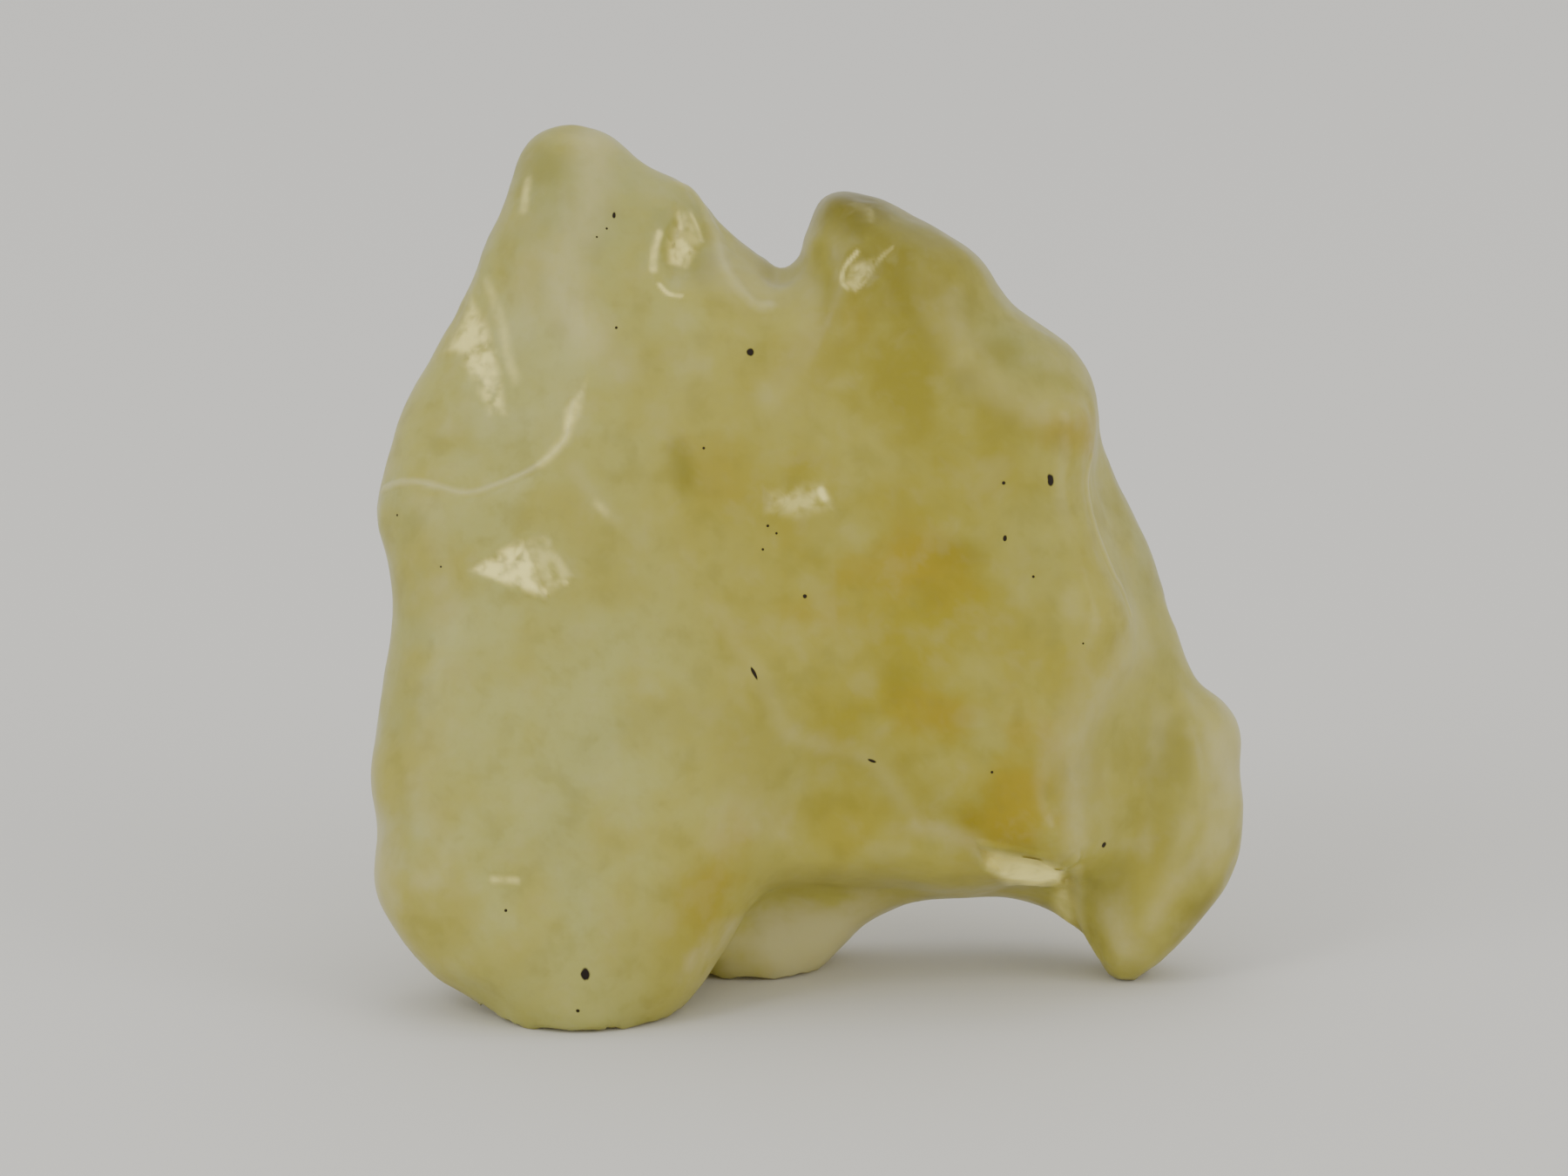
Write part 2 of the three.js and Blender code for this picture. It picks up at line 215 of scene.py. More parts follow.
def finerLump(s):
    clay = bmesh.new()
    clay.from_mesh(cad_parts["desert_glass"].data)
    bmesh.ops.remove_doubles(clay, verts=clay.verts, dist=s["mergeWithin"])
    bmesh.ops.join_triangles(
        clay, faces=clay.faces,
        angle_face_threshold=s["joinAngle"], angle_shape_threshold=s["joinAngle"] * 2,
    )
    front = [f for f in clay.faces if (toFace @ f.normal).y < s["frontBelow"]]
    middles = np.array([toFace @ f.calc_center_median() / mm for f in front])[:, [0, 2]]
    near = np.min([gapToRoute(middles, route) for route in crispRoutes()], axis=0) < s["fineReach"]
    edges = {e for f, isNear in zip(front, near) if isNear for e in f.edges}
    bmesh.ops.subdivide_edges(clay, edges=list(edges), cuts=1, use_grid_fill=True)
    mesh = bpy.data.meshes.new("coarse")
    clay.to_mesh(mesh)
    clay.free()
    coarse = bpy.data.objects.new("coarse", mesh)
    bpy.context.scene.collection.objects.link(coarse)
    finer = coarse.modifiers.new("finer", "SUBSURF")
    finer.levels = finer.render_levels = s["levels"]
    graph = bpy.context.evaluated_depsgraph_get()
    fine = bpy.data.meshes.new_from_object(coarse.evaluated_get(graph))
    bpy.data.objects.remove(coarse)
    fine.name = "desert_glass_lump"
    return fine


def readVectors(items, name):
    flat = np.empty(len(items) * 3, dtype=np.float32)
    items.foreach_get(name, flat)
    return flat.reshape(-1, 3).astype(np.float64)


def soft(share):  # 1 at the middle of a stroke, and 0 from its edge outwards
    rest = np.clip(1 - share, 0, 1)
    return rest * rest * (3 - 2 * rest)


def turnedOffsets(points, middle, turn):  # offsets along and across a turned ellipse
    angle = math.radians(turn)
    across = points[:, 0] - middle[0]
    up = points[:, 2] - middle[2]
    along = across * math.cos(angle) + up * math.sin(angle)
    beside = up * math.cos(angle) - across * math.sin(angle)
    return along, beside


class Clay:  # the lump's vertices in face millimetres, moved and painted as in sculpt mode
    def __init__(self, mesh):
        self.mesh = mesh
        self.turn = np.array(toFace)
        self.points = readVectors(mesh.vertices, "co") @ self.turn.T / mm
        self.edges = np.empty(len(mesh.edges) * 2, dtype=np.int32)
        mesh.edges.foreach_get("vertices", self.edges)
        self.edges = self.edges.reshape(-1, 2)
        self.layers = {}
        self.refresh()

    def refresh(self):
        flat = (self.points @ self.turn * mm).astype(np.float32).ravel()
        self.mesh.vertices.foreach_set("co", flat)
        self.mesh.update()
        self.normals = readVectors(self.mesh.vertex_normals, "vector") @ self.turn.T
        self.tree = BVHTree.FromPolygons(
            [Vector(p) for p in self.points], [list(f.vertices) for f in self.mesh.polygons],
        )

    def layer(self, name):
        return self.layers.setdefault(name, np.zeros(len(self.points)))

    def paint(self, name, amount):  # the strongest stroke counts
        layer = self.layer(name)
        np.maximum(layer, amount, out=layer)

    def spot(self, across, up, side=1):  # the surface behind a place, seen from the front or the back
        start = Vector((across, -100 * side, up))
        found = self.tree.ray_cast(start, Vector((0, side, 0)))[0]
        if found is None:
            found = self.tree.find_nearest(Vector((across, 0, up)))[0]
        return np.array(found)

    def route(self, places, side=1, steps=6):  # a smooth path laid on the surface
        ends = [places[0]] + list(places) + [places[-1]]
        path = []
        for a, b, c, d in zip(ends, ends[1:], ends[2:], ends[3:]):
            for step in range(steps):
                t = step / steps
                weights = (
                    -t ** 3 + 2 * t * t - t,
                    3 * t ** 3 - 5 * t * t + 2,
                    -3 * t ** 3 + 4 * t * t + t,
                    t ** 3 - t * t,
                )
                place = sum(w / 2 * np.array(p) for w, p in zip(weights, (a, b, c, d)))
                path.append(self.spot(*place, side))
        path.append(self.spot(*places[-1], side))
        return path

    def distance(self, path):
        nearest = np.full(len(self.points), np.inf)
        for start, end in zip(path, path[1:]):
            way = end - start
            share = np.clip((self.points - start) @ way / max(way @ way, 1e-9), 0, 1)
            gap = np.linalg.norm(self.points - start - share[:, None] * way, axis=1)
            nearest = np.minimum(nearest, gap)
        return nearest

    def push(self, amount):  # along the normals, outwards where the amount is above 0
        self.points += self.normals * np.asarray(amount)[:, None]


print("frame ready")
lump = finerLump(lumpForm)
clay = Clay(lump)
print("lump:", len(lump.polygons), "faces")

# Fine relief all over: worn swells, and shallow pits that meet in soft crests.
relief = {
    "swells": [(3.1, 0.09), (1.25, 0.03), (0.55, 0.01)],  # width and height
    "pits": 150,
    "pitSize": (0.7, 2.3),
    "pitDepth": 0.06,  # of a pit's size
    "plainBelow": -0.35,  # the broad front face has strokes of its own, and no pits
    "seed": 11,
}


def addRelief(clay, s):
    for width, height in s["swells"]:
        places = clay.points / width
        clay.push([height * noise.noise(Vector(p)) for p in places])
    draw = random.Random(s["seed"])
    low, high = s["pitSize"]
    bowls = np.zeros(len(clay.points))
    for _ in range(s["pits"]):
        middle = draw.randrange(len(clay.points))
        size = low + (high - low) * draw.random() ** 2
        stretch = 1 + draw.random()
        angle = draw.uniform(0, math.pi)
        normal = Vector(clay.normals[middle])
        if normal.y < s["plainBelow"]:
            continue
        side = normal.orthogonal().normalized()
        other = normal.cross(side)
        along = np.array(side * math.cos(angle) + other * math.sin(angle))
        offset = clay.points - clay.points[middle]
        away = offset @ along
        squared = (offset * offset).sum(axis=1) - away ** 2 + (away / stretch) ** 2
        bowl = s["pitDepth"] * size * np.clip(1 - squared / size ** 2, 0, 1)
        np.maximum(bowls, bowl, out=bowls)
    clay.push(-bowls)
    clay.refresh()


addRelief(clay, relief)

paleSpread = 0.9  # below 1, a crest's pale line, a painted highlight along the ridge, is wider than its rise


def addCrests(clay, strokes):
    for s in strokes:
        gap = clay.distance(clay.route(s["route"])) / s["width"]
        clay.push(s["height"] * soft(gap))
        # the pale line, a painted highlight along the ridge
        clay.paint("pale", s["pale"] * soft(gap * paleSpread))
    clay.refresh()


addCrests(clay, crests)

# Dents and swells: [across, up], half sizes, turn, and how deep. Below 0 swells the form out.
dents = [
    {"at": (-4.9, 20.6), "size": (1.1, 1.7), "turn": 20, "depth": 0.13},
    {"at": (-5.2, 29.4), "size": (1.0, 1.9), "turn": -6, "depth": 0.34},
    {"at": (2.2, 28.8), "size": (1.2, 1.0), "turn": 30, "depth": 0.24},
    {"at": (-12.8, 24.6), "size": (1.9, 3.4), "turn": -14, "depth": 0.2},
    {"at": (-13.2, 21.9), "size": (3.6, 1.7), "turn": 8, "depth": 0.26},
    {"at": (-0.4, 19.4), "size": (1.3, 0.7), "turn": 8, "depth": 0.1},
    {"at": (10.2, 16.0), "size": (1.4, 2.4), "turn": 10, "depth": 0.12},
    {"at": (14.0, 6.6), "size": (1.3, 3.2), "turn": 4, "depth": 0.2},
    {"at": (13.3, 15.6), "size": (0.9, 3.4), "turn": 14, "depth": 0.06},
    {"at": (7.6, 25.3), "size": (1.8, 1.1), "turn": -35, "depth": 0.16},
    {"at": (5.6, 23.8), "size": (1.4, 1.6), "turn": -30, "depth": 0.08},
    {"at": (-11.3, 5.0), "size": (3.0, 1.6), "turn": 20, "depth": 0.1},
    {"at": (8.9, 4.35), "size": (1.9, 0.5), "turn": -14, "depth": 0.2},
]
outlineSwells = [
    {"at": (0.5, 31.9), "size": (1.7, 1.3), "turn": 0, "depth": -0.34},
    {"at": (-0.3, 30.2), "size": (1.2, 1.6), "turn": 0, "depth": -0.26},
    {"at": (-1.2, 28.7), "size": (1.0, 0.9), "turn": 0, "depth": 0.34},
    {"at": (-13.4, -0.9), "size": (2.2, 1.3), "turn": -30, "depth": 0.4},
    {"at": (-17.4, 18.6), "size": (2.0, 6.0), "turn": 0, "depth": -0.16},
    {"at": (14.9, 10.9), "size": (1.2, 1.6), "turn": 0, "depth": -0.12},
    {"at": (17.6, 8.4), "size": (1.0, 1.6), "turn": 0, "depth": 0.16},
]


def addDents(clay, strokes, reachBack=3.0):
    for s in strokes:
        middle = clay.spot(*s["at"])
        along, beside = turnedOffsets(clay.points, middle, s["turn"])
        reach = np.sqrt((along / s["size"][0]) ** 2 + (beside / s["size"][1]) ** 2)
        near = np.abs(clay.points[:, 1] - middle[1]) < reachBack
        clay.push(-s["depth"] * soft(reach) * near)
    clay.refresh()


addDents(clay, dents)
addDents(clay, outlineSwells, reachBack=100)

# A glint facet's surface is left uneven, and so is its painted highlight.
glintGrain = {
    "width": 0.5,
    "height": 0.02,
    "rise": 0.8,
    "octaves": 3,
    "patchy": 1.1,
    "even": 0.95,
    "most": 1.25,
    "softness": 0.18,
    "reachBack": 2.5,
    "linePatchy": 0.6,
    "lineMost": 1.2,
    "lineSpread": 0.7,  # below 1, a line is painted wider than its width
}


def insideOutline(points, outline, softness):  # 1 well inside, 0 outside
    inside = np.full(len(points), np.inf)
    corners = [np.array(p) for p in outline]
    for a, b in zip(corners, corners[1:] + corners[:1]):
        edge = (b - a) / np.linalg.norm(b - a)
        gap = (points[:, 0] - a[0]) * edge[1] - (points[:, 2] - a[1]) * edge[0]
        inside = np.minimum(inside, gap * handedness(outline))
    return soft(0.5 - inside / (2 * softness))


def handedness(outline):
    turns = sum(a[0] * b[1] - b[0] * a[1] for a, b in zip(outline, outline[1:] + outline[:1]))
    return -1 if turns > 0 else 1


def addGlints(clay, glintFacets, lines, lamp, s):
    light = np.array(lamp["from"], dtype=float)
    across, depth, up = cameraSettings["middle"]
    eye = np.array((across, depth - cameraSettings["distance"], up))
    grain = np.array([
        noise.fractal(Vector(p) / s["width"], s["rise"], 2.0, s["octaves"]) for p in clay.points
    ])
    for glintFacet in glintFacets:
        middle = clay.spot(*np.mean(glintFacet["outline"], axis=0))
        near = (np.abs(clay.points[:, 1] - middle[1]) < s["reachBack"]) & (clay.normals[:, 1] < 0)
        mask = insideOutline(clay.points, glintFacet["outline"], glintFacet.get("softness", s["softness"])) * near
        toEye = (eye - middle) / np.linalg.norm(eye - middle)
        toLight = (light - middle) / np.linalg.norm(light - middle)
        facing = toEye + toLight if glintFacet.get("mirrors", True) else toEye
        facing /= np.linalg.norm(facing)
        height = (clay.points - middle) @ facing
        level = np.average(height, weights=mask + 1e-9)
        clay.points += facing * (((level - height) * glintFacet["turned"] + grain * s["height"]) * mask)[:, None]
        patchy = glintFacet.get("patchy", s["patchy"]) * grain
        # a patchy painted highlight over the facet
        clay.paint("paintedHighlight", glintFacet["paintedHighlight"] * mask * np.clip(s["even"] + patchy, 0, s["most"]))
    # painted highlight streaks along the lines
    for line in lines:
        gap = clay.distance(clay.route(line["route"])) / line["width"]
        patchy = np.clip(1 + s["linePatchy"] * grain, 0, s["lineMost"])
        clay.paint("paintedHighlight", line["paintedHighlight"] * soft(gap * s["lineSpread"]) * patchy)
    clay.refresh()


addGlints(clay, glintFacets, glintLines, lamps[0], glintGrain)


def levelFeet(clay):  # nothing goes below what the feet stand on
    places = clay.points @ clay.turn
    places[:, 2] = np.maximum(places[:, 2], 0)
    clay.points = places @ clay.turn.T
    clay.refresh()


levelFeet(clay)
print("front sculpted")

# What is painted on the vertices: pale bands, clouds of colour, and how thick the glass is.
bands = [
    {"route": [(-8.75, 34.2), (-8.9, 31.3), (-9.7, 29.2), (-9.5, 27.1), (-8.8, 25.9)],
     "width": 1.6, "pale": 0.45},
    {"route": [(-8.8, 25.9), (-7.6, 24.9)], "width": 1.5, "pale": 0.2},
    {"route": [(0.0, 29.5), (0.1, 27.5), (-0.4, 25.4), (-1.4, 23.6)], "width": 1.3, "pale": 0.2},
    {"route": [(5.2, 27.2), (6.3, 25.1), (7.2, 24.2), (8.4, 23.4), (9.8, 23.0)],
     "width": 1.3, "pale": 0.16},
    {"route": [(10.7, 9.7), (10.75, 7.5), (10.9, 5.4)], "width": 1.3, "pale": 0.34},
    {"route": [(13.2, 14.6), (13.4, 13.4), (12.6, 12.4), (11.6, 11.0), (10.9, 9.6), (10.8, 8.2)],
     "width": 1.9, "pale": 0.3},
    {"route": [(15.8, 11.2), (16.7, 9.6), (17.2, 7.8), (17.0, 6.0), (16.3, 4.7)],
     "width": 1.1, "pale": 0.3},
    {"route": [(16.4, 5.3), (15.4, 4.2), (14.5, 3.2), (13.9, 2.1)], "width": 0.8, "pale": 0.3},
    {"route": [(10.7, 15.4), (10.7, 14.9)], "width": 0.8, "pale": 0.22},
    {"route": [(4.4, 6.2), (6.1, 5.8), (7.6, 4.9)], "width": 0.8, "pale": 0.35},
    {"route": [(12.3, 2.6), (12.9, 1.2)], "width": 1.3, "pale": 0.42},
]


def addBands(clay, strokes):
    for s in strokes:
        clay.paint("pale", s["pale"] * soft(clay.distance(clay.route(s["route"])) / s["width"]))


thickness = {
    "rays": 5,
    "lean": 0.5,
    "start": 0.02,  # how far inside the surface the rays start
    "most": 14.0,
    "seed": 3,
    "relaxed": 12,
    "full": 12,
    "driftSeed": 9.0,
    "drift": 0.12,
}


def measureThickness(clay, s):  # how much glass lies behind each vertex
    draw = random.Random(s["seed"])
    total = np.zeros(len(clay.points))
    lean = s["lean"]
    spread = [Vector([draw.uniform(-lean, lean) for _ in range(3)]) for _ in range(s["rays"])]
    for index, (point, normal) in enumerate(zip(clay.points, clay.normals)):
        inward = -Vector(normal)
        start = Vector(point) + inward * s["start"]
        length = 0
        for turned in spread:
            way = (inward + turned).normalized()
            found = clay.tree.ray_cast(start, way)
            length += min(found[3], s["most"]) if found[0] is not None else 0
        total[index] = length / s["rays"]
    return total


def relax(clay, values, rounds):  # each vertex takes the mean of its neighbours
    a, b = clay.edges.T
    count = np.bincount(a, minlength=len(values)) + np.bincount(b, minlength=len(values))
    for _ in range(rounds):
        total = np.bincount(a, values[b], len(values)) + np.bincount(b, values[a], len(values))
        values = total / np.maximum(count, 1)
    return values


# Clouds of colour that run right through the glass, and clouds of painted shade: [across, up], half sizes,
# turn and strength.
clouds = {
    "green": [
        ((-10.0, 8.5), (9.0, 12.0), 8, 1.0), ((-12.0, 23.0), (6.5, 9.0), -15, 0.85),
        ((-9.6, 0.5), (5.5, 4.0), 0, 0.8), ((-7.0, 30.0), (5.5, 6.0), 0, 0.9),
        ((13.0, 9.0), (1.6, 3.4), 8, 0.3),
    ],
    "sage": [
        ((-10.5, 31.5), (5.0, 4.0), -20, 0.8), ((-6.2, 30.8), (3.2, 3.2), 0, 0.8),
        ((-16.6, 12.0), (1.6, 9.0), 0, 0.5), ((8.2, 25.8), (3.4, 2.2), -35, 0.7),
        ((13.6, 17.6), (1.8, 6.5), 14, 0.6), ((9.4, 17.4), (2.8, 5.0), 0, 0.35),
    ],
    "yellow": [
        ((4.0, 15.3), (9.0, 12.6), 12, 0.8), ((4.7, 12.8), (5.8, 6.6), 0, 1.0),
        ((3.0, 24.5), (5.4, 7.0), 0, 0.8), ((8.4, 7.4), (4.6, 3.6), 0, 0.9),
        ((-3.0, 19.5), (3.4, 5.0), 0, 0.6), ((2.0, 6.5), (5.0, 1.8), 0, 0.8),
        ((-4.4, 3.2), (2.4, 4.6), -22, 0.8), ((13.4, 6.4), (1.8, 5.0), 10, 0.5),
        ((-2.6, 10.0), (2.6, 5.0), 0, 0.45), ((-2.4, 16.6), (2.8, 3.6), 0, 0.5),
    ],
    "orange": [
        ((8.2, 7.2), (2.4, 2.4), 15, 0.6), ((-4.0, 4.0), (1.5, 3.2), -24, 0.4),
        ((8.5, 10.4), (2.2, 1.4), -20, 0.6), ((5.2, 10.8), (2.4, 1.3), -10, 0.6),
        ((0.6, 14.5), (2.4, 1.4), 0, 0.4), ((3.4, 16.9), (3.6, 1.8), 0, 0.6),
        ((10.6, 22.2), (1.5, 1.2), -20, 0.5), ((-15.2, 28.4), (1.4, 1.2), 0, 0.3),
        ((2.1, 26.8), (1.4, 1.8), 0, 0.25), ((-3.9, 20.9), (1.6, 2.0), 0, 0.25),
    ],
    "olive": [
        # The second cloud on the next line is painted shade down the valley between the lobes.
        ((-5.1, 20.6), (0.7, 1.5), 12, 0.55), ((0.9, 27.2), (1.1, 4.6), 4, 0.3),
        ((6.3, 24.2), (1.2, 1.4), -30, 0.5), ((8.0, 25.4), (1.4, 1.1), -30, 0.3),
        ((16.0, 2.6), (2.6, 0.8), 48, 0.7), ((-4.2, 28.6), (1.2, 1.3), 0, 0.5),
        ((12.6, 4.4), (1.2, 3.2), 8, 0.2), ((14.9, 8.8), (1.8, 2.8), 20, 0.35),
        ((6.5, 17.4), (1.5, 1.0), 0, 0.3), ((-11.0, 33.2), (1.4, 1.1), -20, 0.35),
        ((3.4, 24.6), (4.4, 4.8), 0, 0.32), ((12.9, 20.2), (0.6, 1.2), 30, 0.3),
    ],
    # Painted shade over the right summit, fainter towards the back.
    "summitShade": [
        ((3.4, 30.8), (6.4, 5.6), -24, 0.6), ((2.0, 31.8), (4.2, 3.4), -12, 0.95),
        ((3.4, 32.6), (4.6, 2.4), -22, 0.9),
    ],
    "grey": [
        ((-2.4, 28.6), (2.6, 2.2), 0, 0.35), ((17.0, 8.6), (1.1, 4.5), -8, 0.6),
        # The second cloud on the next line is painted shadow over the back foot and the arch's underside.
        ((10.9, 7.6), (1.3, 4.4), 0, 0.12), ((0.6, 1.2), (6.2, 2.4), 12, 1.0),
        ((-17.5, 4.0), (1.4, 6.0), 0, 0.5),
    ],
}
veil = {
    "width": 3.4,
    "rise": 0.7,
    "octaves": 5,
    "drift": 0.6,
    "driftSeed": 4.0,
    "even": ("summitShade",),  # kinds without drift
    "fading": ("summitShade", "orange"),  # kinds that fade towards the back
    "back": 0.3,
    "fadeFrom": 0.75,
    "spread": 0.9,
    "fleckWidth": 1.5,
    "fleckSeed": 17.0,
    "fleckFloor": 0.3,
    "flecks": {"olive": 0.22, "grey": 0.14},
}


def veilOver(clay, s, seed):  # slow uneven drift, around 0
    shift = Vector((seed, seed * 1.7, -seed))
    places = clay.points / s["width"]
    return np.array([noise.fractal(Vector(p) + shift, s["rise"], 2.0, s["octaves"]) for p in places])


def addFlecks(clay, s):  # small darker and paler drifts all over
    flecks = veilOver(clay, {**s, "width": s["fleckWidth"]}, s["fleckSeed"])
    clay.paint("olive", s["flecks"]["olive"] * np.clip(flecks * 2 - s["fleckFloor"], 0, 1))
    clay.paint("grey", s["flecks"]["grey"] * np.clip(-flecks * 2 - s["fleckFloor"], 0, 1))


def addClouds(clay, kinds, s):
    drift = veilOver(clay, s, s["driftSeed"]) * s["drift"]
    front = np.clip(s["fadeFrom"] - clay.normals[:, 1], s["back"], 1)
    for kind, parts in kinds.items():
        fade = front if kind in s["fading"] else 1
        uneven = 0 if kind in s["even"] else drift
        for (across, up), size, turn, strength in parts:
            along, beside = turnedOffsets(clay.points, (across, 0, up), turn)
            reach = np.sqrt((along / size[0]) ** 2 + (beside / size[1]) ** 2)
            clay.paint(kind, strength * soft((reach + uneven) * s["spread"]) * fade)


def addThickness(clay, s):
    depth = relax(clay, measureThickness(clay, s), s["relaxed"]) / s["full"]
    clay.layers["thickness"] = depth + veilOver(clay, veil, s["driftSeed"]) * s["drift"]


addBands(clay, bands)
addClouds(clay, clouds, veil)
addFlecks(clay, veil)
addThickness(clay, thickness)
for name, values in clay.layers.items():
    lump.attributes.new(name, "FLOAT", "POINT").data.foreach_set("value", values.astype(np.float32))
print("lump painted")


class Wire:  # one socket, so that shader maths reads as plain expressions
    def __init__(self, graph, socket):
        self.graph = graph
        self.socket = socket

    def maths(self, operation, first, second):
        return self.graph.add("ShaderNodeMath", {"operation": operation}, {0: first, 1: second})

    def __add__(self, other):
        return self.maths("ADD", self, other)

    def __sub__(self, other):
        return self.maths("SUBTRACT", self, other)

    def __rsub__(self, other):
        return self.maths("SUBTRACT", other, self)

    def __mul__(self, other):
        return self.maths("MULTIPLY", self, other)

    def least(self, other):
        return self.maths("MINIMUM", self, other)

    __radd__ = __add__
    __rmul__ = __mul__


class Graph:
    def __init__(self, name):
        self.material = bpy.data.materials.new(name)
        self.material.use_nodes = True
        self.tree = self.material.node_tree
        self.tree.nodes.clear()

    def add(self, kind, settings=None, inputs=None, output=0):
        node = self.tree.nodes.new(kind)
        for name, value in (settings or {}).items():
            setattr(node, name, value)
        for key, value in (inputs or {}).items():
            if isinstance(value, Wire):
                self.tree.links.new(value.socket, node.inputs[key])
            else:
                node.inputs[key].default_value = value
        return Wire(self, node.outputs[output] if node.outputs else None)

    def mix(self, factor, first, second):
        settings = {"data_type": "RGBA", "clamp_factor": True}
        return self.add("ShaderNodeMix", settings, {0: factor, 6: first, 7: second}, 2)

    def between(self, value, low, high, kind="SMOOTHSTEP"):  # 0 up to low, 1 from high on
        settings = {"interpolation_type": kind}
        return self.add("ShaderNodeMapRange", settings, {"Value": value, "From Min": low, "From Max": high})

    def layer(self, name):
        return self.add("ShaderNodeAttribute", {"attribute_name": name}, output=2)


def colour(red, green, blue):  # from 8-bit display values to scene values
    def linear(value):
        value /= 255
        return value / 12.92 if value <= 0.04045 else ((value + 0.055) / 1.055) ** 2.4
    return (linear(red), linear(green), linear(blue), 1)


glassLook = {
    "ior": 1.46,
    "shine": 0.16,
    "roughness": 0.31,
    "subsurface": 0.4,
    "subsurfaceScale": 0.004,
    "subsurfaceRadius": (1.0, 0.8, 0.3),
    "transmission": 0.32,
    "absorption": (0.92, 0.8, 0.12, 1),
    "density": 70,
    "thin": colour(169, 160, 64),
    "thick": colour(183, 176, 87),
    "yellow": colour(171, 158, 43),
    "orange": colour(176, 151, 29),
    "green": colour(190, 189, 114),
    # milky pale bands, and painted highlights along the crests
    "milkAndSheen": colour(216, 209, 152),
    # grey flecks, and the painted shadow low between the feet
    "grey": colour(206, 199, 146),
    "olive": colour(134, 125, 24),
    "sage": colour(168, 168, 100),
    # the colour of the painted shade on the right summit
    "summitShade": colour(107, 99, 8),
    # the colour of the painted highlights and patches of light
    "paintedHighlight": colour(244, 234, 146),
    "grain": colour(26, 15, 6),
    "fineness": 2.2,
    "moteDetail": 2.0,
    "moteRoughness": 0.6,
    "moteRough": 0.06,  # how much the motes change the roughness, and below, each kind of paint
    "moteDepth": 0.12,
    "moteCloud": 0.15,
    "motePale": 0.8,
    "moteHighlight": 0.5,
    "depths": (0.1, 0.62),  # thin glass up to the first, thick from the second
    "highlightMatte": 0.75,  # how much of a painted highlight is a matte surface in its own colour
    "grainDepth": 0.6,
    "grainEdge": (1.15, 0.75),
}

# Dark grains: [across, up], width and height.
grains = [
    ((-2.36, 25.4), 0.3, 0.28), ((9.8, 20.2), 0.26, 0.5, 8), ((7.9, 20.1), 0.15, 0.15),
    ((7.95, 17.85), 0.16, 0.26, -8), ((9.1, 16.3), 0.12, 0.12), ((-0.15, 15.5), 0.16, 0.16),
    ((11.1, 13.6), 0.1, 0.1), ((-2.2, 12.4), 0.14, 0.6, 27), ((2.55, 8.85), 0.4, 0.12, -20),
    ((7.4, 8.4), 0.13, 0.13), ((12.0, 5.4), 0.26, 0.26), ((-9.0, 0.3), 0.36, 0.5),
    ((-7.9, 31.0), 0.16, 0.28), ((-8.2, 30.45), 0.11, 0.11), ((-8.6, 30.1), 0.11, 0.11),
    ((-7.8, 26.4), 0.12, 0.12), ((-4.25, 21.5), 0.12, 0.12), ((-1.65, 18.35), 0.14, 0.14),
    ((-1.3, 18.05), 0.11, 0.11), ((-1.85, 17.4), 0.11, 0.11), ((-12.2, 2.85), 0.13, 0.13),
    ((-9.3, -1.2), 0.16, 0.16), ((-16.7, 18.8), 0.11, 0.11), ((-14.9, 16.7), 0.1, 0.1),
]


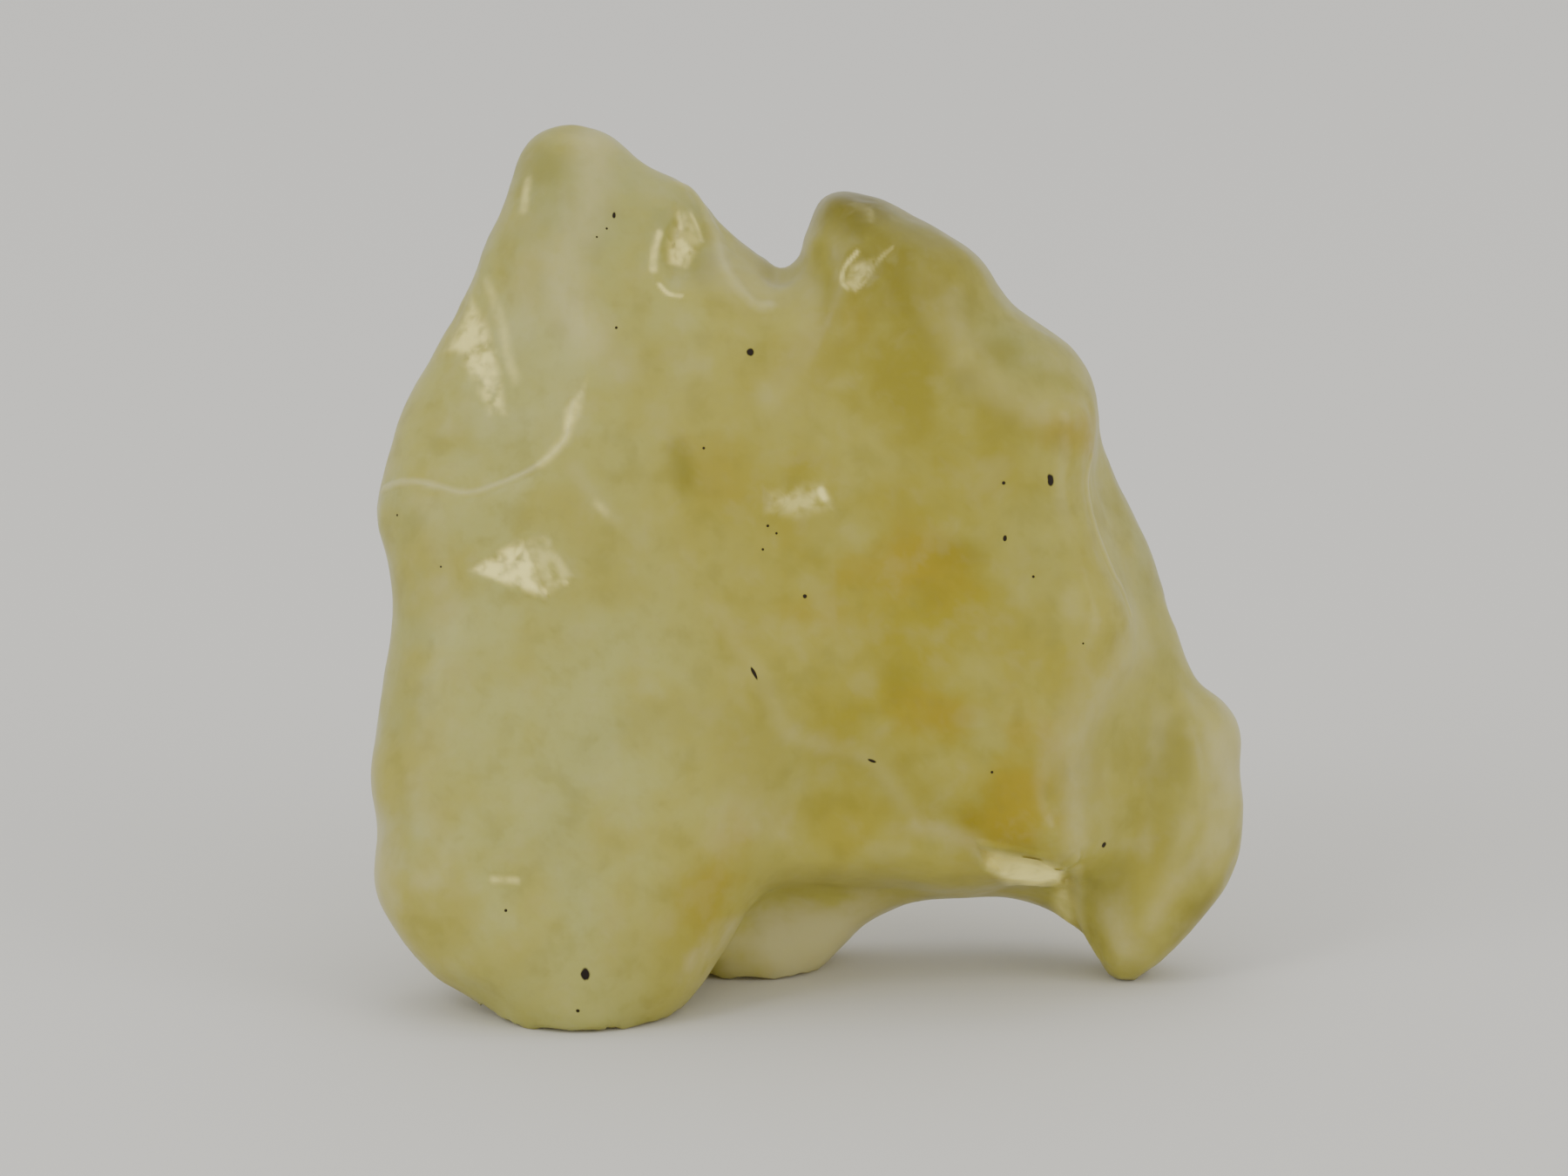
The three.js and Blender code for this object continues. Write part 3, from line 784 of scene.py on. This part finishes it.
def makeGlass(s):
    g = Graph("desert_glass_look")
    place = g.add("ShaderNodeTexCoord", output=3)
    scaled = {"Rotation": (faceLean, 0, 0), "Scale": (1 / mm, 1 / mm, 1 / mm)}
    place = g.add("ShaderNodeMapping", {"vector_type": "POINT"}, {"Vector": place, **scaled})

    def spread(middle, size, turn=0.0):  # 1 at the edge of a turned ellipsoid
        inputs = {
            "Vector": place,
            "Location": middle,
            "Rotation": (0, -math.radians(turn), 0),
            "Scale": (size[0], s["grainDepth"], size[1]),
        }
        local = g.add("ShaderNodeMapping", {"vector_type": "TEXTURE"}, inputs)
        return g.add("ShaderNodeVectorMath", {"operation": "LENGTH"}, {0: local}, 1)

    motes = g.add("ShaderNodeTexNoise", inputs={
        "Vector": place, "Scale": s["fineness"],
        "Detail": s["moteDetail"], "Roughness": s["moteRoughness"],
    }) - 0.5
    depth = g.between(g.layer("thickness") + motes * s["moteDepth"], *s["depths"], "LINEAR")
    body = g.mix(depth, s["thin"], s["thick"])
    for kind in clouds:
        body = g.mix(g.layer(kind) + motes * s["moteCloud"], body, s[kind])
    # pale bands, and painted highlights along the crests
    body = g.mix(g.layer("pale") * (motes * s["motePale"] + 1.0), body, s["milkAndSheen"])
    # painted highlights and patches of light
    body = g.mix(g.layer("paintedHighlight") * (motes * s["moteHighlight"] + 1.0), body, s["paintedHighlight"])
    dark = None
    for at, wide, tall, *turn in grains:
        middle = clay.spot(*at)
        if wide == tall:
            away = g.add("ShaderNodeVectorMath", {"operation": "DISTANCE"}, {0: place, 1: middle}, 1)
            reach = away * (2 / wide)
        else:
            reach = spread((at[0], middle[1], at[1]), (wide / 2, tall / 2), *turn)
        dark = reach if dark is None else dark.least(reach)
    dark = g.between(dark + motes, *s["grainEdge"])
    body = g.mix(dark, body, s["grain"])
    surface = g.add("ShaderNodeBsdfPrincipled", {"subsurface_method": "RANDOM_WALK"}, {
        "Base Color": body, "Roughness": motes * s["moteRough"] + s["roughness"],
        "IOR": s["ior"], "Specular IOR Level": s["shine"],
        "Subsurface Weight": s["subsurface"], "Subsurface Radius": s["subsurfaceRadius"],
        "Subsurface Scale": s["subsurfaceScale"], "Transmission Weight": s["transmission"],
    })
    # Where a highlight is painted, a matte surface in the highlight colour is mixed in.
    highlightMatte = g.add("ShaderNodeBsdfDiffuse", inputs={"Color": s["paintedHighlight"]})
    share = g.layer("paintedHighlight") * g.layer("paintedHighlight") * s["highlightMatte"]
    surface = g.add("ShaderNodeMixShader", inputs={0: share, 1: surface, 2: highlightMatte})
    inner = g.add("ShaderNodeVolumeAbsorption", inputs={"Color": s["absorption"], "Density": s["density"]})
    g.add("ShaderNodeOutputMaterial", inputs={"Surface": surface, "Volume": inner})
    return g.material


specimen = bpy.data.objects.new("desert_glass_lump", lump)
bpy.context.scene.collection.objects.link(specimen)
lump.materials.clear()
lump.materials.append(makeGlass(glassLook))
lump.shade_smooth()
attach(specimen, "root")
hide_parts("desert_glass")
print("glass finished")

stageSettings = {
    "reach": 3000,
    "segments": 8,
    "floor": colour(216, 214, 208),
    "roughness": 0.75,
    "air": (1, 1, 1, 1),
    "airStrength": 0.9,
}


def makeStage(s):
    sheet = bmesh.new()
    cuts = s["segments"]
    bmesh.ops.create_grid(sheet, x_segments=cuts, y_segments=cuts, size=s["reach"] * mm)
    mesh = bpy.data.meshes.new("floor")
    sheet.to_mesh(mesh)
    sheet.free()
    floor = bpy.data.objects.new("floor", mesh)
    bpy.context.scene.collection.objects.link(floor)
    g = Graph("floor_paper")
    paper = {"Base Color": s["floor"], "Roughness": s["roughness"]}
    surface = g.add("ShaderNodeBsdfPrincipled", inputs=paper)
    g.add("ShaderNodeOutputMaterial", inputs={"Surface": surface})
    mesh.materials.append(g.material)
    world = bpy.data.worlds.new("air")
    world.use_nodes = True
    air = world.node_tree.nodes["Background"]
    air.inputs["Color"].default_value = s["air"]
    air.inputs["Strength"].default_value = s["airStrength"]
    bpy.context.scene.world = world


makeStage(stageSettings)
print("stage made")
